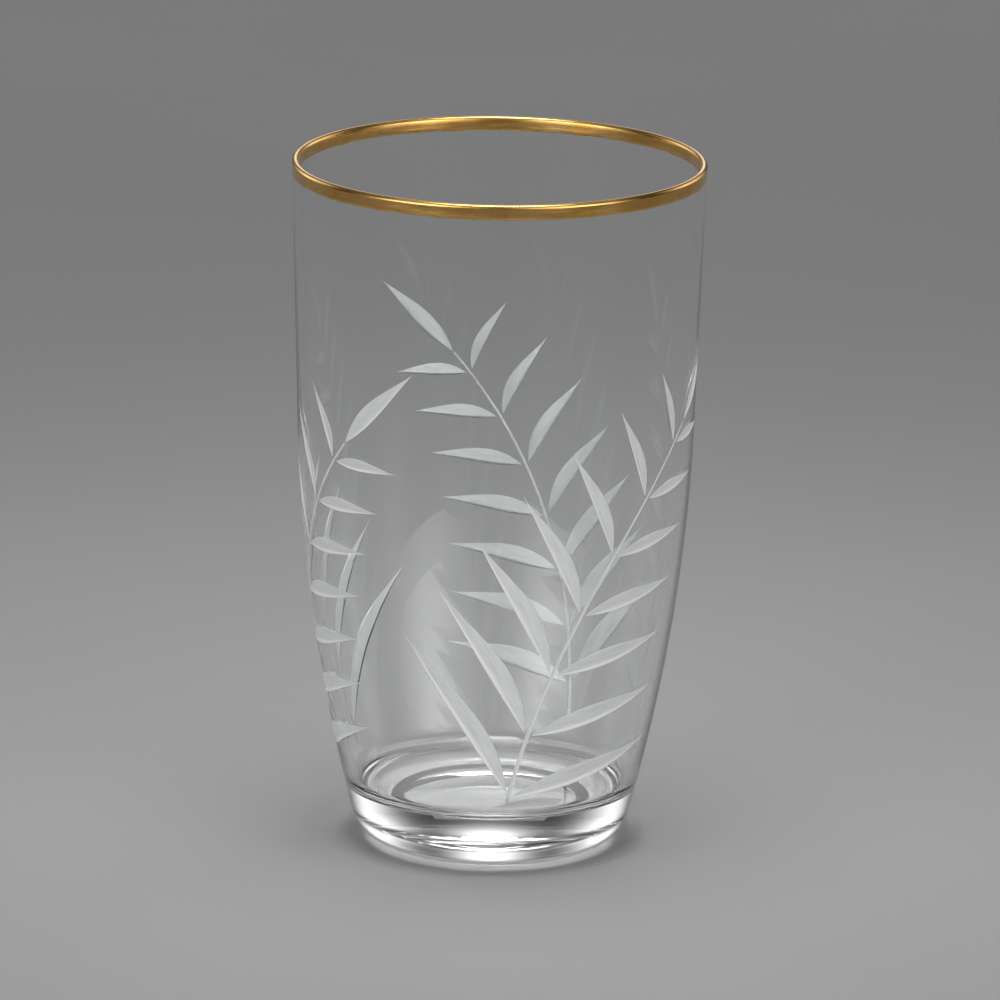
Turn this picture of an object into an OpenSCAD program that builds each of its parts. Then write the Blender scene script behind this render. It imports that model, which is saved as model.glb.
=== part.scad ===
// Tall whiskey tumbler in clear glass: a heavy base, a fired-on gold rim band
// and three wheel-cut fern sprays ground into the outside of the wall.
// The origin is the centre of the resting ring, and +Z runs up to the rim.
// The front is -Y; azimuths grow anticlockwise seen from above, from the front.

/* [Glass body] */
// Overall height, from the table to the top of the gold rim
height = 122; // [100:1:150]
// Outer radius at the rim
rim_r = 36; // [30:0.5:44]
// Inward lean of the straight upper wall, in degrees from upright
wall_lean = 1.6; // [0.5:0.1:2.5]
// Height at which the wall starts to curve in towards the base
shoulder_z = 75; // [60:1:85]
// Radius of the long curve of the lower wall
barrel_r = 295; // [250:5:400]
// Wall thickness at the rim
rim_wall = 1.1; // [0.9:0.1:1.6]
// Wall thickness just above the thick base
base_wall = 2.6; // [1.8:0.1:3.5]

/* [Base] */
// Thickness of the solid base under the inside floor
base_thick = 10; // [7:0.5:14]
// Radius of the rounded heel between the wall and the resting ring
heel_r = 7; // [4:0.5:9]
// Radius of the fillet between the inside wall and the inside floor
floor_fillet_r = 3.5; // [2:0.5:6]
// Width of the flat resting ring
rest_ring_w = 2.4; // [1.5:0.1:4]
// Depth of the hollow under the base
punt_depth = 1.6; // [0.8:0.1:3]

/* [Gold band] */
// Height of the gold band, down both sides of the rim
band_h = 2.6; // [1.5:0.1:6]
// Thickness of the gold band, modelled thicker than a fired film
band_t = 0.08; // [0.05:0.01:0.2]

/* [Cut sprays] */
// Clear glass between the gold band and the sheet that the sprays are drawn on
sheet_gap = 4.4; // [2:0.2:8]
// Pairs of leaves along each stem
leaf_pairs = 7; // [4:1:7]
// Height of the foot of every stem above the table
foot_z = 14; // [12:1:24]
// Length of the topmost pair of side leaves
top_leaf_len = 14.6; // [10:0.2:18]
// Length of the single leaf at the tip of each stem
end_leaf_len = 21; // [16:0.5:22]
// Length of bare stem between the topmost pair and the end leaf
end_gap = 5; // [3:0.5:7]
// Width of the end leaf at its belly
end_leaf_w = 2.9; // [2:0.1:4]
// Depth of a leaf's valley under its edges, as a share of its width
cut_ratio = 0.09; // [0.05:0.01:0.12]
// Depth of the small step at the edge of every cut
edge_step = 0.06; // [0.05:0.01:0.1]
// Width of the ground stem line
stem_w = 0.8; // [0.5:0.1:1.2]
// Depth of the ground stem line's valley under its edges
stem_depth = 0.08; // [0.04:0.02:0.16]
// Gap of clear glass between a leaf and its stem
leaf_gap = 0.25; // [0.15:0.05:0.5]
// Thickness of the matt ground layer on the floor of each cut
matt_t = 0.04; // [0.03:0.01:0.05]

/* [Front spray] */
// Azimuth of the foot of the stem
front_az = 6.5; // [0:0.5:10]
// Lean of the stem at its foot, in degrees from upright
front_foot_lean = 10; // [4:1:16]
// Lean of the stem at its tip, in degrees from upright
front_tip_lean = 61; // [45:1:62]
// Distance along the stem from its foot to the first pair
front_first_pair = 1; // [1:0.2:7]
// Distance along the stem from one pair to the next
front_pair_step = 11.8; // [9:0.1:12]
// Lengths of the lowest left leaf and the lowest right leaf
front_leaf_len = [35.5, 32]; // [20:0.5:38]
// Width at the belly of a long leaf
front_leaf_w = 3.5; // [2.5:0.1:4.2]
// Angles from the stem of the lowest and topmost left leaves
front_left_splay = [44, 66]; // [40:1:75]
// Angles from the stem of the lowest and topmost right leaves
front_right_splay = [67, 39]; // [38:1:75]

/* [Back spray] */
// Azimuth of the foot of the stem
back_az = 146.5; // [140:0.5:152]
// Lean of the stem at its foot, in degrees from upright
back_foot_lean = 6; // [4:1:16]
// Lean of the stem at its tip, in degrees from upright
back_tip_lean = 51; // [45:1:62]
// Distance along the stem from its foot to the first pair
back_first_pair = 6.6; // [1:0.2:7]
// Distance along the stem from one pair to the next
back_pair_step = 10.1; // [9:0.1:12]
// Lengths of the lowest left leaf and the lowest right leaf
back_leaf_len = [29.5, 25.5]; // [20:0.5:38]
// Width at the belly of a long leaf
back_leaf_w = 3.9; // [2.5:0.1:4.2]
// Angles from the stem of the lowest and topmost left leaves
back_left_splay = [49, 64]; // [40:1:75]
// Angles from the stem of the lowest and topmost right leaves
back_right_splay = [66, 47]; // [38:1:75]

/* [Left spray] */
// Azimuth of the foot of the stem
left_az = 258.5; // [252:0.5:264]
// Lean of the stem at its foot, in degrees from upright
left_foot_lean = 12; // [4:1:16]
// Lean of the stem at its tip, in degrees from upright
left_tip_lean = 51; // [45:1:62]
// Distance along the stem from its foot to the first pair
left_first_pair = 1.6; // [1:0.2:7]
// Distance along the stem from one pair to the next
left_pair_step = 10.8; // [9:0.1:12]
// Lengths of the lowest left leaf and the lowest right leaf
left_leaf_len = [37, 29]; // [20:0.5:38]
// Width at the belly of a long leaf
left_leaf_w = 3.8; // [2.5:0.1:4.2]
// Angles from the stem of the lowest and topmost left leaves
left_left_splay = [58, 68]; // [40:1:75]
// Angles from the stem of the lowest and topmost right leaves
left_right_splay = [58, 50]; // [38:1:75]

/* [Hidden] */

eps = 0.01;
round_fn = 360;
profile_steps = 24;
arc_steps = 8;
glass_top = height - band_t;
glass_rim_r = rim_r - band_t;
wall_slope = tan(wall_lean);

// Outer radius of the glass at height z: a straight wall over a long curve
function wall_out(z) =
    glass_rim_r - wall_slope * (glass_top - z) - pow(max(shoulder_z - z, 0), 2) / (2 * barrel_r);

// Slope of the outer wall at height z, as radius gained for each unit of height
function wall_out_slope(z) = wall_slope + max(shoulder_z - z, 0) / barrel_r;

// Wall thickness at height z, growing with the square of the depth below the rim
function wall_thick(z) = rim_wall + (base_wall - rim_wall) * pow((glass_top - z) / glass_top, 2);

// Inner radius of the glass at height z
function wall_in(z) = wall_out(z) - wall_thick(z);

// Slope of the inner wall at height z, taken over a small step
function wall_in_slope(z) = (wall_in(z + eps) - wall_in(z - eps)) / (2 * eps);

// Points on an arc, from angle a0 to a1
function arc(centre, r, a0, a1, steps) =
    [for (i = [0:steps]) let (a = a0 + (a1 - a0) * i / steps) centre + r * [cos(a), sin(a)]];

// A rounded corner meets its wall at about this share of its radius above its foot
corner_share = 0.75;

// The heel: tangent to the table and to the outer wall
heel_lean = atan(wall_out_slope(heel_r * corner_share));
heel_z = heel_r * (1 - sin(heel_lean));
heel_centre = [wall_out(heel_z) - heel_r * cos(heel_lean), heel_r];

// The fillet round the inside floor: tangent to the floor and to the inner wall
fillet_lean = atan(wall_in_slope(base_thick + floor_fillet_r * corner_share));
fillet_z = base_thick + floor_fillet_r * (1 - sin(fillet_lean));
fillet_centre = [wall_in(fillet_z) - floor_fillet_r * cos(fillet_lean), base_thick + floor_fillet_r];

// The rounded lip: half a circle across the wall's thickness
lip_r = rim_wall / 2;
lip_centre = [glass_rim_r - lip_r, glass_top - lip_r];

// The hollow under the base: a shallow cap inside the resting ring
punt_r = heel_centre[0] - rest_ring_w;
punt_sphere_r = (punt_r * punt_r + punt_depth * punt_depth) / (2 * punt_depth);
punt_angle = asin(punt_r / punt_sphere_r);

// Heights at which the two walls are drawn, from z0 up to z1
function wall_heights(z0, z1) = [for (i = [0:profile_steps]) z0 + (z1 - z0) * i / profile_steps];

// Half section of the lip down to a depth under the rim, grown outwards by t
function lip_section(depth, t) =
    let (z0 = glass_top - depth)
    concat(
        [[wall_out(z0) + t, z0]],
        arc(lip_centre, lip_r + t, 0, 180, arc_steps),
        [[wall_in(z0) - t, z0]]
    );

// The sprays are drawn on a sheet that is stretched to fit the wall: it keeps its
// share of the way round, and reaches from the foot of the stems to sheet_gap
// under the gold band
sheet_h = 101;
sheet_rim_r = 36;
girth_fit = rim_r / sheet_rim_r;
rise_fit = (height - band_h - sheet_gap - foot_z) / sheet_h;

// Point on the outside of the glass, h out from the wall, for a point p of the
// sheet, as [round, up] from the foot of a stem at azimuth az
function on_wall(az, p, h) =
    let (
        z = foot_z + rise_fit * p[1],
        a = az + girth_fit * p[0] / wall_out(z) * 180 / PI,
        r = wall_out(z) + h
    )
    [r * sin(a), -r * cos(a), z];

// What sets one spray apart from the others, and the names of its places
AZ = 0;
STEM_LEAN = 1;
PAIRS = 2;
LEAF_LEN = 3;
LEAF_W = 4;
SPLAY = 5;
front_spray = [
    front_az, [front_foot_lean, front_tip_lean], [front_first_pair, front_pair_step],
    front_leaf_len, front_leaf_w, [front_left_splay, front_right_splay]
];
back_spray = [
    back_az, [back_foot_lean, back_tip_lean], [back_first_pair, back_pair_step],
    back_leaf_len, back_leaf_w, [back_left_splay, back_right_splay]
];
left_spray = [
    left_az, [left_foot_lean, left_tip_lean], [left_first_pair, left_pair_step],
    left_leaf_len, left_leaf_w, [left_left_splay, left_right_splay]
];
SPRAYS = [front_spray, back_spray, left_spray];

// Distances along a stem: to pair i, to the start of the end leaf, to its tip
function pair_at(spray, i) = spray[PAIRS][0] + spray[PAIRS][1] * i;
function bare_len(spray) = pair_at(spray, leaf_pairs - 1) + end_gap;
function stem_len(spray) = bare_len(spray) + end_leaf_len;

// The stem is a circular arc on the sheet, so its lean grows evenly
function stem_lean(spray, s) =
    let (lean = spray[STEM_LEAN]) lean[0] + (lean[1] - lean[0]) * s / stem_len(spray);
function stem_point(spray, s) =
    let (
        a0 = stem_lean(spray, 0),
        a = stem_lean(spray, s),
        r = stem_len(spray) * 180 / PI / (stem_lean(spray, stem_len(spray)) - a0)
    )
    [r * (cos(a0) - cos(a)), r * (sin(a) - sin(a0))];

// Directions on the sheet for a lean from upright
function along(lean) = [sin(lean), cos(lean)];
function across(lean) = [-cos(lean), sin(lean)];

// Width of a leaf, which is less for a leaf shorter than long_leaf, and a mix from
// the lowest pair to the highest
long_leaf = 30;
width_power = 0.8;
function belly_width(spray, len) = spray[LEAF_W] * pow(min(len / long_leaf, 1), width_power);
function by_pair(low, top, i) = low + (top - low) * i / (leaf_pairs - 1);

// A leaf is [start, lean, length, belly width, side of the belly, bow of its
// lower edge as a share of its width]
LEFT = 0;
RIGHT = 1;
left_bow = 0.04;
right_bow = 0.3;
end_bow = 0.35;
function side_leaf(spray, side, i) =
    let (
        s = pair_at(spray, i),
        turn = side == LEFT ? -1 : 1,
        splay = by_pair(spray[SPLAY][side][0], spray[SPLAY][side][1], i),
        lean = stem_lean(spray, s) + turn * splay,
        clear = (stem_w / 2 + leaf_gap) / sin(splay),
        len = by_pair(spray[LEAF_LEN][side], top_leaf_len, i)
    )
    [stem_point(spray, s) + clear * along(lean), lean, len - clear, belly_width(spray, len),
        turn, side == LEFT ? left_bow : right_bow];
function end_leaf(spray) =
    let (
        foot = stem_point(spray, bare_len(spray)),
        chord = stem_point(spray, stem_len(spray)) - foot,
        lean = atan2(chord[0], chord[1])
    )
    [foot + leaf_gap * along(lean), lean, norm(chord) - leaf_gap, end_leaf_w, 1, end_bow];
function leaves(spray) =
    concat(
        [for (i = [0:leaf_pairs - 1], side = [LEFT, RIGHT]) side_leaf(spray, side, i)],
        [end_leaf(spray)]
    );

// Width of a leaf at share t of its length, as a share of its belly: a belly
// near the stem, a long point at the tip, and ends that are never quite closed
leaf_steps = 12;
belly_skew = 0.72;
belly_power = 1.25;
blunt = 0.03;
function belly(t) = max(pow(max(sin(180 * pow(t, belly_skew)), 0), belly_power), blunt);

// The valley of the cut lies close to the leaf's lower edge, so that one side
// of the cut is steep and the other is broad
valley_share = 0.17;

// One station across the floor of a cut: lower edge, valley and upper edge, as
// [across, up]
function leaf_station(leaf, t) =
    let (w = leaf[3] * belly(t), low = -leaf[5] * w)
    [[low, -edge_step], [low + valley_share * w, -edge_step - cut_ratio * w], [low + w, -edge_step]];
function leaf_place(spray, leaf, t, q) =
    let (p = leaf[0] + t * leaf[2] * along(leaf[1]) + leaf[4] * q[0] * across(leaf[1]))
    on_wall(spray[AZ], p, q[1]);

// The stem thins out to tip_share of its width
stem_steps = 20;
tip_share = 0.5;
function stem_station(t) =
    let (w = stem_w * (1 - (1 - tip_share) * t))
    [[-w / 2, -edge_step], [0, -edge_step - stem_depth], [w / 2, -edge_step]];
function stem_place(spray, t, q) =
    let (
        s = t * bare_len(spray),
        p = stem_point(spray, s) + q[0] * across(stem_lean(spray, s))
    )
    on_wall(spray[AZ], p, q[1]);

// Ring round a cutter: the floor, and steep sides up to a height clear of the wall
clear_h = 0.3;
function cutter_ring(floor) =
    let (lift = [0, edge_step + clear_h])
    [floor[0], floor[1], floor[2], floor[2] + lift, floor[0] + lift];

// Ring round the matt layer: the same floor, and a top that stays clear of the sides
matt_inset = 0.01;
function matt_ring(floor) =
    let (lift = [0, matt_t], inset = [matt_inset, 0])
    [floor[0], floor[1], floor[2], floor[2] + lift - inset, floor[1] + lift, floor[0] + lift + inset];

// A closed skin of triangles over rings of n points each. The end faces fan out
// from the second point, which is the valley of a cut.
module skin(rings, flip) {
    n = len(rings[0]);
    last = len(rings) - 1;
    points = [for (ring = rings, p = ring) p];
    sides = [
        for (k = [0:last - 1], i = [0:n - 1])
            let (a = k * n + i, b = k * n + (i + 1) % n)
            each [[a, b, a + n], [b, b + n, a + n]]
    ];
    fan = [for (i = [2:n - 1]) [1, i, (i + 1) % n]];
    far = [last * n, last * n, last * n];
    ends = [for (f = fan) each [[f[0], f[2], f[1]], far + f]];
    faces = concat(sides, ends);
    turned = [for (f = faces) [f[0], f[2], f[1]]];
    polyhedron(points, flip ? faces : turned);
}

module leaf_solid(spray, leaf, cutter) {
    rings = [
        for (k = [0:leaf_steps])
            let (t = k / leaf_steps, st = leaf_station(leaf, t))
            [for (q = cutter ? cutter_ring(st) : matt_ring(st)) leaf_place(spray, leaf, t, q)]
    ];
    skin(rings, leaf[4] < 0);
}

module stem_solid(spray, cutter) {
    rings = [
        for (k = [0:stem_steps])
            let (t = k / stem_steps, st = stem_station(t))
            [for (q = cutter ? cutter_ring(st) : matt_ring(st)) stem_place(spray, t, q)]
    ];
    skin(rings, false);
}

module spray_solids(spray, cutter) {
    stem_solid(spray, cutter);
    for (leaf = leaves(spray))
        leaf_solid(spray, leaf, cutter);
}

module glass_body() {
    outer = [for (z = wall_heights(heel_z, lip_centre[1])) [wall_out(z), z]];
    inner = [for (z = wall_heights(fillet_z, lip_centre[1])) [wall_in(z), z]];
    count = len(inner) - 1;
    section = concat(
        [[0, punt_depth]],
        [for (p = arc([0, punt_depth - punt_sphere_r], punt_sphere_r, 90, 90 - punt_angle, arc_steps))
            if (p[0] > eps) p],
        arc(heel_centre, heel_r, -90, -heel_lean, arc_steps),
        [for (i = [1:count]) outer[i]],
        [for (p = arc(lip_centre, lip_r, 0, 180, arc_steps)) if (p[1] > lip_centre[1] + eps) p],
        [for (i = [0:count - 1]) inner[count - i]],
        arc(fillet_centre, floor_fillet_r, -fillet_lean, -90, arc_steps),
        [[0, base_thick]]
    );
    color("aliceblue", 0.45)
    difference() {
        rotate_extrude($fn = round_fn) polygon(section);
        for (spray = SPRAYS)
            spray_solids(spray, true);
    }
}

module gold_rim_band() {
    color("goldenrod")
    rotate_extrude($fn = round_fn)
    difference() {
        polygon(lip_section(band_h, band_t));
        polygon(lip_section(band_h + eps, 0));
    }
}

module cut_spray_front() {
    color("gainsboro") spray_solids(front_spray, false);
}

module cut_spray_back() {
    color("gainsboro") spray_solids(back_spray, false);
}

module cut_spray_left() {
    color("gainsboro") spray_solids(left_spray, false);
}

glass_body();
gold_rim_band();
cut_spray_front();
cut_spray_back();
cut_spray_left();
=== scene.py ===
import math

import bpy
import numpy as np
from mathutils import Matrix, Vector, kdtree


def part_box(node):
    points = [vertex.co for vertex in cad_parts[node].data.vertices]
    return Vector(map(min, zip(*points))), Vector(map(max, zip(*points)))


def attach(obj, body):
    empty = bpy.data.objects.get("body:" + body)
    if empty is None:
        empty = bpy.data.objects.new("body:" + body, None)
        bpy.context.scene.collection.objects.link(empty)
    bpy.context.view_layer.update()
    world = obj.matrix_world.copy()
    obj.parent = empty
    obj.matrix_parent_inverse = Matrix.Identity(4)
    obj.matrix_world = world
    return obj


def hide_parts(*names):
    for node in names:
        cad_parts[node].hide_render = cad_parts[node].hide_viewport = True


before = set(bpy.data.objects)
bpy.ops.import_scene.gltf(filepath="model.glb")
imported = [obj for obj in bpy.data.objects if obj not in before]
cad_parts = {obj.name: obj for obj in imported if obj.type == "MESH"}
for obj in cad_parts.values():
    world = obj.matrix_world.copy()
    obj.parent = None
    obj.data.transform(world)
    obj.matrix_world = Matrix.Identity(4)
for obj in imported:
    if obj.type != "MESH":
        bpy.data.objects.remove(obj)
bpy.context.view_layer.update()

# Lengths in this script are millimetres, and meshes are made in metres
MM = 0.001

# ---- The glass, as the CAD model has it -------------------------------------

BAND_H = 2.6
BAND_T = 0.08
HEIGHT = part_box("gold_rim_band")[1].z / MM
RIM_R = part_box("gold_rim_band")[1].x / MM
GLASS_TOP = HEIGHT - BAND_T
GLASS_RIM_R = RIM_R - BAND_T
WALL_SLOPE = math.tan(math.radians(1.6))
SHOULDER_Z = 75
BARREL_R = 295
RIM_WALL = 1.1
BASE_WALL = 2.6
BASE_THICK = 10
HEEL_R = 7
FILLET_R = 3.5
RING_W = 2.4
PUNT_DEPTH = 1.6
CORNER_SHARE = 0.75
# Segments round the glass and the gold, and how much finer the section for normals is
ROUND = 384
FINE_SECTION = 12


def wall_out(z):
    """Outer radius of the glass at height z."""
    belly = np.maximum(SHOULDER_Z - z, 0) ** 2 / (2 * BARREL_R)
    return GLASS_RIM_R - WALL_SLOPE * (GLASS_TOP - z) - belly


def wall_in(z):
    """Inner radius of the glass at height z."""
    growth = (BASE_WALL - RIM_WALL) * ((GLASS_TOP - z) / GLASS_TOP) ** 2
    return wall_out(z) - RIM_WALL - growth


def lean_of(wall, z, step=0.01):
    """Angle of a wall from upright at height z, in radians."""
    return math.atan((wall(z + step) - wall(z - step)) / (2 * step))


def arc(centre, radius, start, end, steps):
    """Points on an arc in the half section, with angles in radians."""
    a = np.linspace(start, end, steps + 1)
    return np.column_stack([centre[0] + radius * np.cos(a), centre[1] + radius * np.sin(a)])


def wall_line(wall, low, high, steps):
    z = np.linspace(low, high, steps + 1)
    return np.column_stack([wall(z), z])


def glass_section(fine):
    """Half section of the glass as smooth runs of points, from the axis underneath
    to the axis inside. fine multiplies the number of points."""
    heel_lean = lean_of(wall_out, HEEL_R * CORNER_SHARE)
    heel_z = HEEL_R * (1 - math.sin(heel_lean))
    heel_x = float(wall_out(heel_z)) - HEEL_R * math.cos(heel_lean)
    fillet_lean = lean_of(wall_in, BASE_THICK + FILLET_R * CORNER_SHARE)
    fillet_z = BASE_THICK + FILLET_R * (1 - math.sin(fillet_lean))
    fillet_x = float(wall_in(fillet_z)) - FILLET_R * math.cos(fillet_lean)
    lip_r = RIM_WALL / 2
    lip_z = GLASS_TOP - lip_r
    punt_r = heel_x - RING_W
    sphere_r = (punt_r**2 + PUNT_DEPTH**2) / (2 * PUNT_DEPTH)
    punt_turn = math.asin(punt_r / sphere_r)
    quarter = math.pi / 2
    punt = arc((0, PUNT_DEPTH - sphere_r), sphere_r, quarter, quarter - punt_turn, 14 * fine)
    ring = np.linspace((punt_r, 0), (heel_x, 0), 2 * fine + 1)
    outside = [
        arc((heel_x, HEEL_R), HEEL_R, -quarter, -heel_lean, 18 * fine),
        wall_line(wall_out, heel_z, lip_z, 56 * fine)[1:],
        arc((GLASS_RIM_R - lip_r, lip_z), lip_r, 0, math.pi, 14 * fine)[1:],
        wall_line(wall_in, lip_z, fillet_z, 50 * fine)[1:],
        arc((fillet_x, BASE_THICK + FILLET_R), FILLET_R, -fillet_lean, -quarter, 12 * fine)[1:],
        np.linspace((fillet_x, BASE_THICK), (0, BASE_THICK), 10 * fine + 1)[1:],
    ]
    return punt, ring, np.vstack(outside)


# ---- Making meshes ----------------------------------------------------------


def new_piece(name, points, faces):
    """An object whose points are given in millimetres."""
    mesh = bpy.data.meshes.new(name)
    mesh.from_pydata((np.asarray(points, float) * MM).tolist(), [], faces)
    mesh.validate()
    mesh.shade_smooth()
    piece = bpy.data.objects.new(name, mesh)
    bpy.context.scene.collection.objects.link(piece)
    return piece


def revolved(name, section, count):
    """A closed solid of revolution from a half section that starts and ends on the axis."""
    turn = np.linspace(0, 2 * math.pi, count, endpoint=False)
    body = section[1:-1]
    rows = [np.column_stack([r * np.cos(turn), r * np.sin(turn), np.full(count, z)]) for r, z in body]
    points = np.vstack([[0, 0, section[0][1]]] + rows + [[0, 0, section[-1][1]]])
    last = len(points) - 1
    faces = []
    for i in range(count):
        j = (i + 1) % count
        faces.append((0, 1 + j, 1 + i))
        for k in range(len(body) - 1):
            a, b = 1 + k * count, 1 + (k + 1) * count
            faces.append((a + i, a + j, b + j, b + i))
        end = 1 + (len(body) - 1) * count
        faces.append((end + i, end + j, last))
    return new_piece(name, points, faces)


def hoop(name, rings):
    """A closed hoop of revolution-like rings: rings[k] is the k-th closed loop of points."""
    count, n = len(rings), len(rings[0])
    faces = []
    for k in range(count):
        a, b = k * n, ((k + 1) % count) * n
        for i in range(n):
            j = (i + 1) % n
            faces.append((a + i, b + i, b + j, a + j))
    return new_piece(name, np.vstack(rings), faces)


class Bag:
    """Gathers tubes of rings, each closed at its ends, for one mesh."""

    def __init__(self):
        self.points, self.faces, self.grain, self.size = [], [], [], 0

    def tube(self, rings, grain, flip):
        n, base = len(rings[0]), self.size
        made = []
        for k in range(len(rings) - 1):
            a, b = base + k * n, base + (k + 1) * n
            made += [(a + i, a + (i + 1) % n, b + (i + 1) % n, b + i) for i in range(n)]
        far = base + (len(rings) - 1) * n
        made.append(tuple(base + i for i in reversed(range(n))))
        made.append(tuple(far + i for i in range(n)))
        self.faces += [f[::-1] for f in made] if flip else made
        self.points.append(np.vstack(rings))
        self.grain.append(np.vstack(grain))
        self.size += n * len(rings)

    def piece(self, name):
        made = new_piece(name, np.vstack(self.points), self.faces)
        where = np.vstack(self.grain)
        corner = np.zeros(len(made.data.loops), np.int32)
        made.data.loops.foreach_get("vertex_index", corner)
        for layer_name, columns in (("grain", (0, 1)), ("facet", (2, 2))):
            layer = made.data.uv_layers.new(name=layer_name)
            layer.data.foreach_set("uv", where[corner][:, columns].astype(np.float32).ravel())
        return made


# ---- The cut sprays ---------------------------------------------------------

FOOT_Z = 14
LEAF_PAIRS = 7
TOP_LEAF_LEN = 14.6
END_LEAF_LEN = 21
END_GAP = 5
END_LEAF_W = 2.9
CUT_RATIO = 0.09
EDGE_STEP = 0.06
STEM_W = 0.8
STEM_DEPTH = 0.08
LEAF_GAP = 0.25
LONG_LEAF = 30
WIDTH_POWER = 0.8
BLUNT = 0.02
LEFT_BOW = 0.04
RIGHT_BOW = 0.3
END_BOW = 0.35
VALLEY = 0.17
SPRAYS = {
    "front": {
        "az": 6.5, "lean": (10, 61), "pairs": (1, 11.8), "len": (35.5, 32), "width": 3.5,
        "splay": ((44, 66), (67, 39)),
    },
    "back": {
        "az": 146.5, "lean": (6, 51), "pairs": (6.6, 10.1), "len": (29.5, 25.5), "width": 3.9,
        "splay": ((49, 64), (66, 47)),
    },
    "left": {
        "az": 258.5, "lean": (12, 51), "pairs": (1.6, 10.8), "len": (37, 29), "width": 3.8,
        "splay": ((58, 68), (58, 50)),
    },
}
# Where a leaf's belly sits, and how quickly it narrows from there
BELLY_PLACE = 0.72
BELLY_FALL = 1.25
# How much of its width the stem has lost at its tip, and where its valley is
STEM_TAPER = 0.5
STEM_VALLEY = 0.4
LEAF_STEPS = 44
STEM_STEPS = 90
ACROSS = np.array([0, 0.085, VALLEY, 0.27, 0.4, 0.55, 0.7, 0.85, 1])
HOLLOW = 1.25
# How far a cutter stands out of the wall
CLEAR_H = 0.3
# The matt layer: its gap above the cut, its thickness and its gap to the cut's edges
MATT_GAP = 0.01
MATT_T = 0.035
MATT_INSET = 0.012
# Where a cut is narrower than this it runs out, down to this share of its full edge
FULL_CUT_W = 1.2
THIN_CUT = 0.2


def bare_len(spray):
    return spray["pairs"][0] + spray["pairs"][1] * (LEAF_PAIRS - 1) + END_GAP


def stem_len(spray):
    return bare_len(spray) + END_LEAF_LEN


def stem_lean(spray, s):
    foot, tip = spray["lean"]
    return math.radians(foot + (tip - foot) * s / stem_len(spray))


def stem_point(spray, s):
    """Point of the stem on the unrolled wall, as (round, up)."""
    a0, a = stem_lean(spray, 0), stem_lean(spray, s)
    r = stem_len(spray) / (stem_lean(spray, stem_len(spray)) - a0)
    return np.array([r * (math.cos(a0) - math.cos(a)), FOOT_Z + r * (math.sin(a) - math.sin(a0))])


def along(lean):
    return np.array([math.sin(lean), math.cos(lean)])


def across(lean):
    return np.array([-math.cos(lean), math.sin(lean)])


def leaves(spray):
    """Each leaf as its start, lean, length, belly width, side of the belly and bow."""
    found = []
    for i in range(LEAF_PAIRS):
        s = spray["pairs"][0] + spray["pairs"][1] * i
        share = i / (LEAF_PAIRS - 1)
        for side, turn, bow in ((0, -1, LEFT_BOW), (1, 1, RIGHT_BOW)):
            low, top = spray["splay"][side]
            splay = math.radians(low + (top - low) * share)
            length = spray["len"][side] + (TOP_LEAF_LEN - spray["len"][side]) * share
            lean = stem_lean(spray, s) + turn * splay
            clear = (STEM_W / 2 + LEAF_GAP) / math.sin(splay)
            width = spray["width"] * min(length / LONG_LEAF, 1) ** WIDTH_POWER
            start = stem_point(spray, s) + clear * along(lean)
            found.append((start, lean, length - clear, width, turn, bow))
    foot = stem_point(spray, bare_len(spray))
    chord = stem_point(spray, stem_len(spray)) - foot
    lean = math.atan2(chord[0], chord[1])
    length = float(np.linalg.norm(chord))
    found.append((foot + LEAF_GAP * along(lean), lean, length - LEAF_GAP, END_LEAF_W, 1, END_BOW))
    return found


def belly(t):
    """Width of a leaf at share t of its length, as a share of its belly."""
    return max(max(math.sin(math.pi * t**BELLY_PLACE), 0) ** BELLY_FALL, BLUNT)


def on_wall(az, p, h):
    """Points h out from the wall, for points p of the unrolled wall."""
    r = wall_out(p[:, 1])
    a = math.radians(az) + p[:, 0] / r
    r = r + h
    return np.column_stack([r * np.sin(a), -r * np.cos(a), p[:, 1]])


def run_out(width):
    """Share of its full edge and matt layer that a cut still has where it is this wide."""
    return min(max(width / FULL_CUT_W, THIN_CUT), 1)


def cut_floor(width, low, depth, valley):
    """The floor of a cut: how far across each of its points is, and how deep.
    The side below the valley is steep, and the other is broad and slightly hollow."""
    rise = (1 - ACROSS) / (1 - valley)
    fall = np.where(ACROSS < valley, ACROSS / valley, rise**HOLLOW)
    return low + width * ACROSS, -EDGE_STEP * run_out(width) - depth * fall


def stem_stations(spray):
    """Along the stem: the middle line, direction across, floor and length so far."""
    for k in range(STEM_STEPS + 1):
        t = k / STEM_STEPS
        s = t * bare_len(spray)
        width = STEM_W * (1 - STEM_TAPER * t)
        floor = cut_floor(width, -width / 2, STEM_DEPTH, STEM_VALLEY)
        yield stem_point(spray, s), across(stem_lean(spray, s)), floor, s


def leaf_stations(leaf):
    """The same along a leaf, with the stations closer together toward its ends."""
    start, lean, length, widest, turn, bow = leaf
    for k in range(LEAF_STEPS + 1):
        t = 0.5 - 0.5 * math.cos(math.pi * k / LEAF_STEPS)
        width = widest * belly(t)
        floor = cut_floor(width, -bow * width, CUT_RATIO * width, VALLEY)
        yield start + t * length * along(lean), turn * across(lean), floor, t * length


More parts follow.
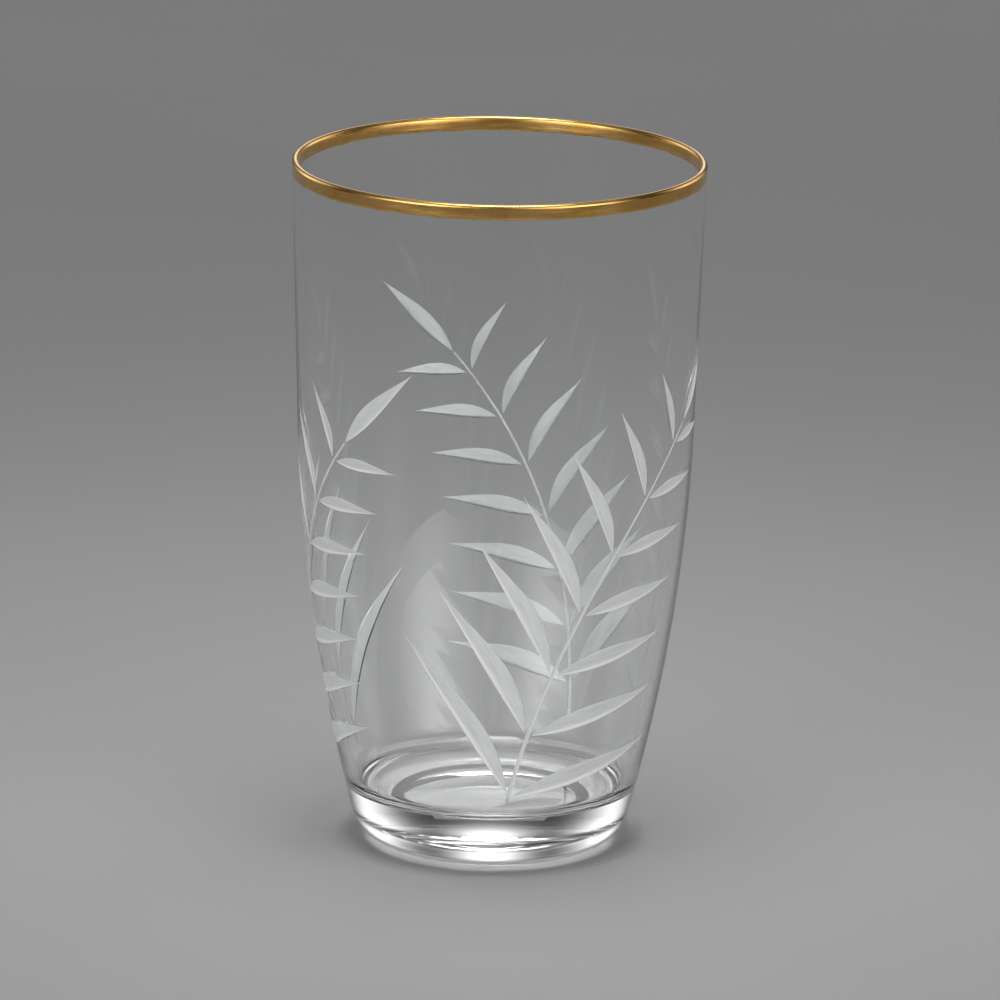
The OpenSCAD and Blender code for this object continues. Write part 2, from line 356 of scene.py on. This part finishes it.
def cut_tubes(spray, stations, flip, cutters, shells):
    """Adds one cut's cutter to cutters and its thin matt layer to shells."""
    cutter_rings, shell_rings, grain = [], [], []
    for middle, side, (u, h), s in stations:

        def place(u, h):
            return on_wall(spray["az"], middle + np.outer(u, side), h)

        lifted = place(u[[-1, 0]], np.full(2, CLEAR_H))
        cutter_rings.append(np.vstack([place(u, h), lifted]))
        thin = run_out(u[-1] - u[0])
        inset = u.copy()
        inset[0] += MATT_INSET * thin
        inset[-1] -= MATT_INSET * thin
        low = place(inset, h + MATT_GAP * thin)
        high = place(inset[::-1], h[::-1] + (MATT_GAP + MATT_T) * thin)
        shell_rings.append(np.vstack([low, high]))
        twice = np.concatenate([u, u[::-1]])
        share = np.concatenate([ACROSS, ACROSS[::-1]])
        grain.append(np.column_stack([np.full(len(twice), s), twice, share]))
    cutters.tube(cutter_rings, [g[: len(cutter_rings[0])] for g in grain], flip)
    shells.tube(shell_rings, grain, flip)


def make_sprays():
    """The cutters of all sprays as one object, and one object of matt layers a spray."""
    cutters, made = Bag(), {}
    for name, spray in SPRAYS.items():
        shells = Bag()
        cut_tubes(spray, stem_stations(spray), False, cutters, shells)
        for leaf in leaves(spray):
            cut_tubes(spray, leaf_stations(leaf), leaf[4] < 0, cutters, shells)
        made[name] = shells.piece("matt_spray_" + name)
    return cutters.piece("cutters"), made


# ---- The glass body ---------------------------------------------------------

# A face this near the section is polished, and edges in a cut that turn more are creases
POLISHED_WITHIN = 0.004
CREASE = math.cos(math.radians(30))
AXIS_R = 0.001


def cut_away(body, cutter):
    """Cuts cutter's solids out of body's mesh."""
    modifier = body.modifiers.new("cuts", "BOOLEAN")
    modifier.operation = "DIFFERENCE"
    modifier.solver = "MANIFOLD"
    modifier.object = cutter
    bpy.context.view_layer.update()
    evaluated = body.evaluated_get(bpy.context.evaluated_depsgraph_get())
    done = bpy.data.meshes.new_from_object(evaluated)
    body.modifiers.clear()
    old = body.data
    body.data = done
    bpy.data.meshes.remove(old)
    bpy.data.objects.remove(cutter)


def section_tree(run):
    """A search tree over the points of a run of the section, and the normals there."""
    step = np.gradient(run, axis=0)
    normal = np.column_stack([step[:, 1], -step[:, 0]])
    normal /= np.linalg.norm(normal, axis=1)[:, None]
    tree = kdtree.KDTree(len(run))
    for i, (r, z) in enumerate(run):
        tree.insert((r, 0, z), i)
    tree.balance()
    return tree, normal


def faces_by_run(mesh, runs):
    """For each face, the run of the section it lies on, or -1 for a face of a cut."""
    found = np.full(len(mesh.polygons), -1)
    for face in mesh.polygons:
        middle = Vector(face.center) / MM
        spot = (math.hypot(middle.x, middle.y), 0, middle.z)
        distances = [tree.find(spot)[2] for tree, _ in runs]
        nearest = int(np.argmin(distances))
        if distances[nearest] < POLISHED_WITHIN:
            found[face.index] = nearest
    return found


def sharpen(mesh, run_of):
    """Marks the edges where runs meet, the outlines of the cuts and the creases in them."""
    edge = np.zeros(len(mesh.loops), np.int32)
    mesh.loops.foreach_get("edge_index", edge)
    face = np.repeat(np.arange(len(mesh.polygons)), [p.loop_total for p in mesh.polygons])
    sides = face[np.argsort(edge, kind="stable")].reshape(-1, 2)
    facing = np.array([p.normal for p in mesh.polygons])
    turn = (facing[sides[:, 0]] * facing[sides[:, 1]]).sum(axis=1)
    border = run_of[sides[:, 0]] != run_of[sides[:, 1]]
    mesh.edges.foreach_set("use_edge_sharp", border | (turn < CREASE))


def true_normals(body):
    """Gives the polished surface the normals of the true curves. The cuts keep their own."""
    mesh = body.data
    mesh.shade_smooth()
    runs = [section_tree(run) for run in glass_section(FINE_SECTION)]
    run_of = faces_by_run(mesh, runs)
    sharpen(mesh, run_of)
    mesh.update()
    points = np.zeros(len(mesh.vertices) * 3, np.float32)
    mesh.vertices.foreach_get("co", points)
    points = points.reshape(-1, 3) / MM
    normals = np.zeros(len(mesh.loops) * 3, np.float32)
    mesh.corner_normals.foreach_get("vector", normals)
    normals = normals.reshape(-1, 3)
    cache = {}
    for face in mesh.polygons:
        run = run_of[face.index]
        if run < 0:
            continue
        tree, normal = runs[run]
        for corner in face.loop_indices:
            vertex = mesh.loops[corner].vertex_index
            if (vertex, run) not in cache:
                x, y, z = points[vertex]
                r = math.hypot(x, y)
                out, up = normal[tree.find((r, 0, z))[1]]
                cache[vertex, run] = (out * x / r, out * y / r, up) if r > AXIS_R else (0, 0, up)
            normals[corner] = cache[vertex, run]
    custom = mesh.attributes.new("custom_normal", "FLOAT_VECTOR", "CORNER")
    custom.data.foreach_set("vector", normals.ravel())
    mesh.update()


def make_glass(cutter):
    punt, ring, outside = glass_section(1)
    section = np.vstack([punt, ring[1:], outside[1:]])
    body = revolved("glass", section, ROUND)
    cut_away(body, cutter)
    true_normals(body)
    return body


# ---- The gold band ----------------------------------------------------------

# How far the gold's edges stay above the CAD band's, and how much they waver
OUTER_SHORT, OUTER_WAVER = 0.12, 0.08
INNER_SHORT, INNER_WAVER = 0.25, 0.14
# Air between gold and glass, the gold's full height over the glass, and its edge taper
GOLD_GAP = 0.008
GOLD_FULL = BAND_T - 0.003
TAPER_L = 0.3
EDGE_SHARE = 0.15
WALL_STEPS = 9
LIP_STEPS = 15


def ripple(turn, waves, rng):
    """A smooth closed ripple round the rim, within -1 and 1."""
    total = np.zeros_like(turn)
    for n in waves:
        total += np.sin(n * turn + rng.uniform(0, 2 * math.pi)) / len(waves)
    return total


def make_band():
    """The fired-on gold: a thin hoop over the lip, with brushed edges that waver a little."""
    rng = np.random.default_rng(7)
    turn = np.linspace(0, 2 * math.pi, ROUND, endpoint=False)
    outer_h = BAND_H - OUTER_SHORT + OUTER_WAVER * ripple(turn, (3, 7, 12, 23, 41), rng)
    inner_h = BAND_H - INNER_SHORT + INNER_WAVER * ripple(turn, (2, 5, 11, 19, 37), rng)
    lip_r = RIM_WALL / 2
    centre = (GLASS_RIM_R - lip_r, GLASS_TOP - lip_r)
    rings = []
    for k, a in enumerate(turn):
        out_z = np.linspace(GLASS_TOP - outer_h[k], centre[1], WALL_STEPS)[:-1]
        in_z = np.linspace(centre[1], GLASS_TOP - inner_h[k], WALL_STEPS)[1:]
        lip = np.linspace(0, math.pi, LIP_STEPS)
        line = np.vstack([
            np.column_stack([wall_out(out_z), out_z]),
            np.column_stack([centre[0] + lip_r * np.cos(lip), centre[1] + lip_r * np.sin(lip)]),
            np.column_stack([wall_in(in_z), in_z]),
        ])
        out = np.vstack([
            np.tile([1.0, 0], (len(out_z), 1)),
            np.column_stack([np.cos(lip), np.sin(lip)]),
            np.tile([-1.0, 0], (len(in_z), 1)),
        ])
        edge = np.concatenate([[0], np.cumsum(np.linalg.norm(np.diff(line, axis=0), axis=1))])
        near = np.minimum(edge, edge[-1] - edge) / TAPER_L + EDGE_SHARE
        thick = GOLD_GAP + (GOLD_FULL - GOLD_GAP) * np.clip(near, 0, 1) ** 0.5
        loop = np.vstack([line + out * thick[:, None], (line + out * GOLD_GAP)[::-1]])
        rings.append(np.column_stack([loop[:, 0] * math.cos(a), loop[:, 0] * math.sin(a), loop[:, 1]]))
    return hoop("gold_band", rings)


# ---- Materials --------------------------------------------------------------


class Nodes:
    """A material's node tree, with short calls for adding and joining nodes."""

    def __init__(self, name):
        self.material = bpy.data.materials.new(name)
        self.material.use_nodes = True
        self.tree = self.material.node_tree
        self.shader = next(n for n in self.tree.nodes if n.type == "BSDF_PRINCIPLED")

    def add(self, kind, **values):
        """Adds a node. Values name its properties, or its sockets with spaces as _."""
        node = self.tree.nodes.new(kind)
        for key, value in values.items():
            socket = node.inputs.get(key.replace("_", " "))
            if socket is None:
                setattr(node, key, value)
            else:
                socket.default_value = value
        return node

    def link(self, source, target):
        self.tree.links.new(source, target)

    def set(self, **values):
        for key, value in values.items():
            self.shader.inputs[key.replace("_", " ")].default_value = value

    def noise(self, vector, scale, detail, stretch=(1, 1, 1), rough=0.55):
        """Noise over a vector that is first stretched by a share along each axis."""
        mapping = self.add("ShaderNodeMapping")
        mapping.inputs["Scale"].default_value = stretch
        self.link(vector, mapping.inputs["Vector"])
        node = self.add("ShaderNodeTexNoise", Scale=scale, Detail=detail, Roughness=rough)
        self.link(mapping.outputs["Vector"], node.inputs["Vector"])
        return node.outputs["Fac"]

    def ramp(self, value, low, high, to_low, to_high):
        node = self.add("ShaderNodeMapRange", From_Min=low, From_Max=high, To_Min=to_low, To_Max=to_high)
        self.link(value, node.inputs["Value"])
        return node.outputs["Result"]

    def mix(self, share, a, b):
        node = self.add("ShaderNodeMix", data_type="RGBA")
        node.inputs["A"].default_value = (*a, 1)
        node.inputs["B"].default_value = (*b, 1)
        self.link(share, node.inputs["Factor"])
        return node.outputs["Result"]

    def bump(self, height, depth, strength):
        """Bump whose height share 1 stands depth metres."""
        node = self.add("ShaderNodeBump", Strength=strength, Distance=depth)
        self.link(height, node.inputs["Height"])
        self.link(node.outputs["Normal"], self.shader.inputs["Normal"])


def clear_glass():
    """Polished soda glass: faint striae from drawing, and the lightest of smears."""
    m = Nodes("clear_glass")
    m.set(Base_Color=(0.985, 0.992, 0.99, 1), IOR=1.52, Transmission_Weight=1.0, Roughness=0.0)
    spot = m.add("ShaderNodeTexCoord").outputs["Object"]
    smear = m.noise(spot, 60, 4, (1, 1, 0.5))
    m.link(m.ramp(smear, 0.45, 0.8, 0.0, 0.045), m.shader.inputs["Roughness"])
    striae = m.noise(spot, 90, 2, (1, 1, 0.12))
    m.bump(striae, 0.00002, 0.35)
    return m.material


def fired_gold():
    """Burnished fired-on gold: brushed round the rim, warmer and duller in patches."""
    m = Nodes("fired_gold")
    m.set(Metallic=1.0, Specular_IOR_Level=0.5)
    spot = m.add("ShaderNodeTexCoord").outputs["Object"]
    patches = m.noise(spot, 160, 4)
    tone = m.mix(m.ramp(patches, 0.3, 0.7, 0, 1), (0.76, 0.40, 0.10), (0.92, 0.58, 0.20))
    m.link(tone, m.shader.inputs["Base Color"])
    strokes = m.noise(spot, 900, 3, (0.15, 0.15, 1.6))
    m.link(m.ramp(strokes, 0.3, 0.75, 0.10, 0.34), m.shader.inputs["Roughness"])
    m.bump(strokes, 0.00002, 0.4)
    return m.material


def ground_glass():
    """Wheel-ground matt glass: fine lines along each cut, a cloudy depth, and the
    steep facet under the broad one painted white as a painted highlight."""
    m = Nodes("ground_glass")
    m.set(IOR=1.52, Alpha=0.86, Specular_IOR_Level=0.3)
    grain = m.add("ShaderNodeUVMap", uv_map="grain").outputs["UV"]
    facet = m.add("ShaderNodeSeparateXYZ")
    m.link(m.add("ShaderNodeUVMap", uv_map="facet").outputs["UV"], facet.inputs["Vector"])
    lines = m.noise(grain, 2.6, 3, (0.07, 1, 1))
    matt = m.mix(m.ramp(lines, 0.3, 0.7, 0, 1), (0.76, 0.78, 0.79), (0.90, 0.91, 0.92))
    # Painted highlight: the steep facet below the valley is painted white, a bright edge that the lamps
    # would give.
    painted_facet_highlight = m.add("ShaderNodeMix", data_type="RGBA")
    painted_facet_highlight.inputs["B"].default_value = (1.0, 1.0, 1.0, 1)
    m.link(matt, painted_facet_highlight.inputs["A"])
    m.link(m.ramp(facet.outputs["X"], VALLEY + 0.06, VALLEY - 0.02, 0, 1), painted_facet_highlight.inputs["Factor"])
    m.link(painted_facet_highlight.outputs["Result"], m.shader.inputs["Base Color"])
    cloud = m.noise(grain, 0.5, 2)
    m.link(m.ramp(cloud, 0.3, 0.7, 0.5, 0.62), m.shader.inputs["Roughness"])
    m.bump(lines, 0.00002, 0.4)
    return m.material


def matt_floor():
    m = Nodes("pale_floor")
    spot = m.add("ShaderNodeTexCoord").outputs["Object"]
    cloud = m.noise(spot, 6, 3)
    m.link(m.mix(cloud, (0.35, 0.35, 0.35), (0.38, 0.38, 0.38)), m.shader.inputs["Base Color"])
    m.set(Roughness=0.8, Specular_IOR_Level=0.1)
    return m.material


# ---- Camera, floor and light ------------------------------------------------


CAMERA_LENS = 308.9
CAMERA_SHIFT = (0.0054, 0.0003)
CAMERA_ELEVATION = math.radians(14.833)
CAMERA_ROLL = math.radians(0.881)
CAMERA_DISTANCE = 1.5
MIDDLE = Vector((0, 0, HEIGHT / 2 * MM))
FLOOR_R = 1.3


def toward(azimuth, elevation):
    """Unit vector from the glass; azimuth 0 is the front, and angles are in degrees."""
    a, e = math.radians(azimuth), math.radians(elevation)
    return Vector((math.sin(a) * math.cos(e), -math.cos(a) * math.cos(e), math.sin(e)))


def make_camera():
    """A long lens above the middle of the glass, rolled a little as the photograph is."""
    data = bpy.data.cameras.new("camera")
    data.sensor_width = 36
    data.lens = CAMERA_LENS
    data.shift_x, data.shift_y = CAMERA_SHIFT
    camera = bpy.data.objects.new("camera", data)
    bpy.context.scene.collection.objects.link(camera)
    offset = Vector((0, -math.cos(CAMERA_ELEVATION), math.sin(CAMERA_ELEVATION))) * CAMERA_DISTANCE
    look = (-offset).to_track_quat("-Z", "Y").to_matrix()
    turned = (look @ Matrix.Rotation(CAMERA_ROLL, 3, "Z")).to_4x4()
    camera.matrix_world = Matrix.Translation(MIDDLE + offset) @ turned
    bpy.context.scene.camera = camera


def make_floor():
    count = 96
    turn = np.linspace(0, 2 * math.pi, count, endpoint=False)
    points = np.column_stack([FLOOR_R * np.cos(turn), FLOOR_R * np.sin(turn), np.zeros(count)]) / MM
    floor = new_piece("floor", points, [tuple(range(count))])
    floor.data.materials.append(matt_floor())


def area_light(name, azimuth, elevation, distance, size, power, spread):
    """A soft box that faces the middle of the glass."""
    data = bpy.data.lights.new(name, "AREA")
    data.shape = "RECTANGLE"
    data.size, data.size_y = size
    data.energy = power
    data.spread = math.radians(spread)
    light = bpy.data.objects.new(name, data)
    bpy.context.scene.collection.objects.link(light)
    offset = toward(azimuth, elevation) * distance
    turn = (-offset).to_track_quat("-Z", "Y").to_matrix().to_4x4()
    light.matrix_world = Matrix.Translation(MIDDLE + offset) @ turn
    light.visible_camera = False


def math_node(tree, operation, a, b):
    """A Math node on a socket and a socket or number, and its output."""
    node = tree.nodes.new("ShaderNodeMath")
    node.operation = operation
    tree.links.new(a, node.inputs[0])
    if isinstance(b, (int, float)):
        node.inputs[1].default_value = b
    else:
        tree.links.new(b, node.inputs[1])
    return node.outputs["Value"]


def glow(tree, direction, azimuth, elevation, peak, tightness):
    """The strength in each direction of one soft round light in the surroundings."""
    dot = tree.nodes.new("ShaderNodeVectorMath")
    dot.operation = "DOT_PRODUCT"
    dot.inputs[1].default_value = toward(azimuth, elevation)
    tree.links.new(direction, dot.inputs[0])
    facing = math_node(tree, "MAXIMUM", dot.outputs["Value"], 0)
    return math_node(tree, "MULTIPLY", math_node(tree, "POWER", facing, tightness), peak)


# Azimuth, elevation, peak and tightness of each soft light round the glass
GLOWS = [
    (-44, 14, 3.6, 14),
    (44, 14, 3.6, 14),
    (-132, 14, 1.6, 24),
    (132, 14, 1.6, 24),
    (180, 16, 1.5, 60),
    (0, 90, 0.9, 8),
]
DIM = 0.02


def make_world():
    """Dim surroundings with soft lights at the front corners, behind and overhead."""
    world = bpy.data.worlds.new("studio")
    world.use_nodes = True
    tree = world.node_tree
    background = next(n for n in tree.nodes if n.type == "BACKGROUND")
    direction = tree.nodes.new("ShaderNodeTexCoord").outputs["Generated"]
    total = glow(tree, direction, *GLOWS[0])
    for values in GLOWS[1:]:
        total = math_node(tree, "ADD", total, glow(tree, direction, *values))
    tree.links.new(math_node(tree, "ADD", total, DIM), background.inputs["Strength"])
    background.inputs["Color"].default_value = (1, 1, 1, 1)
    bpy.context.scene.world = world


def make_light():
    area_light("pool", 0, 89, 0.6, (0.3, 0.3), 0.3, spread=60)
    make_world()


def tune_renderer():
    scene = bpy.context.scene
    scene.cycles.use_denoising = True
    scene.cycles.max_bounces = 24
    scene.cycles.transmission_bounces = 20
    scene.cycles.glossy_bounces = 10
    scene.cycles.transparent_max_bounces = 24
    scene.cycles.caustics_refractive = True
    scene.cycles.caustics_reflective = True
    scene.cycles.blur_glossy = 0.1
    scene.cycles.sample_clamp_indirect = 30
    scene.view_settings.view_transform = "Standard"


# ---- Putting it together ----------------------------------------------------

make_camera()
cutter, matt_sprays = make_sprays()
glass = make_glass(cutter)
glass.data.materials.clear()
glass.data.materials.append(clear_glass())
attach(glass, "root")
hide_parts("glass_body")

band = make_band()
band.data.materials.append(fired_gold())
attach(band, "root")
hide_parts("gold_rim_band")

matt = ground_glass()
for name, piece in matt_sprays.items():
    piece.data.materials.append(matt)
    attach(piece, "root")
    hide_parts("cut_spray_" + name)

make_floor()
make_light()
tune_renderer()
